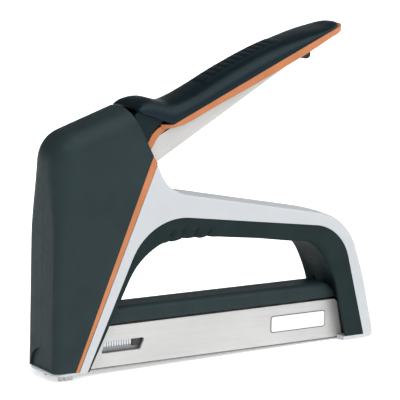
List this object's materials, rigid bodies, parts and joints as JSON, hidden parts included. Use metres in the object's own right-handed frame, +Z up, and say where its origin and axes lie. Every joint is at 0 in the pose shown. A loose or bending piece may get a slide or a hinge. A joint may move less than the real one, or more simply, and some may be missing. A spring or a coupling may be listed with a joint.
{
  "type": "staple gun",
  "caption": "Hand-squeezed heavy-duty staple gun with a sprung striker, a finger-loop body, a slide-out staple track and a long padded handle.",
  "frame": {"origin": "middle of the bounding box, level with the lowest point, which is the tips of the nose guide", "axes": "+X runs along the magazine from the nose to the heel, +Y to the tool's right-hand side, +Z up from the magazine's base to the handle"},
  "size_m": [0.171, 0.0258, 0.1522],
  "materials": {
    "nose_plastic": "fine-grained matt moulding",
    "grip_plastic": "satin soft-touch moulding",
    "liner_rubber": "matt rubber",
    "accent_orange": "satin moulding",
    "body_grey": "smooth satin paint on a casting",
    "steel": "finely brushed along its length",
    "inner_steel": "plain rolled, lightly oiled",
    "spring_steel": "drawn wire",
    "staple_steel": "galvanised wire",
    "screw_steel": "blackened",
    "bumper_rubber": "matt rubber",
    "label_white": "blank printed film with a dark rim"
  },
  "bodies": {
    "root": {"nose_cover_left": "nose_plastic", "nose_cover_right": "nose_plastic", "accent_strip_left": "accent_orange", "accent_strip_right": "accent_orange", "body_shell_left": "body_grey", "body_shell_right": "body_grey", "loop_liner": "liner_rubber", "rail_cap": "nose_plastic", "magazine_channel": "steel", "nose_guide": "steel", "label_left": "label_white", "label_right": "label_white", "staple_strip": "staple_steel", "striker_bumper": "bumper_rubber", "power_spring": "spring_steel", "spring_cap": "inner_steel", "lever_pin": "inner_steel", "screw_cover_upper": "screw_steel", "screw_cover_lower": "screw_steel", "screw_arm_front": "screw_steel", "screw_arm_rear": "screw_steel", "screw_heel": "screw_steel"},
    "handle": {"lever_channel": "steel", "handle_grip": "grip_plastic", "handle_accent": "accent_orange", "handle_bumper": "bumper_rubber"},
    "striker": {"striker": "inner_steel", "driver_blade": "steel"},
    "track": {"loading_track": "steel", "track_latch": "nose_plastic", "rod_bracket": "inner_steel", "pusher_rod": "inner_steel", "pusher_spring": "spring_steel"},
    "pusher": {"staple_pusher": "inner_steel"}
  },
  "joints": [
    {"name": "handle_squeeze", "type": "hinge", "parent": "root", "child": "handle", "pos_m": [-0.0515, 0, 0.093], "axis": [0, 1, 0], "range_deg": [0, 36], "stiffness_Nm_per_rad": 1.2, "springref_deg": -20.05},
    {"name": "striker_lift", "type": "slide", "parent": "root", "child": "striker", "axis": [0, 0, 1], "range_m": [0, 0.0155], "deforming": ["power_spring"]},
    {"name": "track_pull", "type": "slide", "parent": "root", "child": "track", "axis": [1, 0, 0], "range_m": [0, 0.07]},
    {"name": "pusher_slide", "type": "slide", "parent": "track", "child": "pusher", "axis": [1, 0, 0], "range_m": [0, 0.07], "stiffness_N_per_m": 15, "springref_m": -0.06, "deforming": ["pusher_spring"]}
  ],
  "couplings": [
    {"joint": "striker_lift", "follows": "handle_squeeze", "m_per_rad": 0.02392}
  ]
}
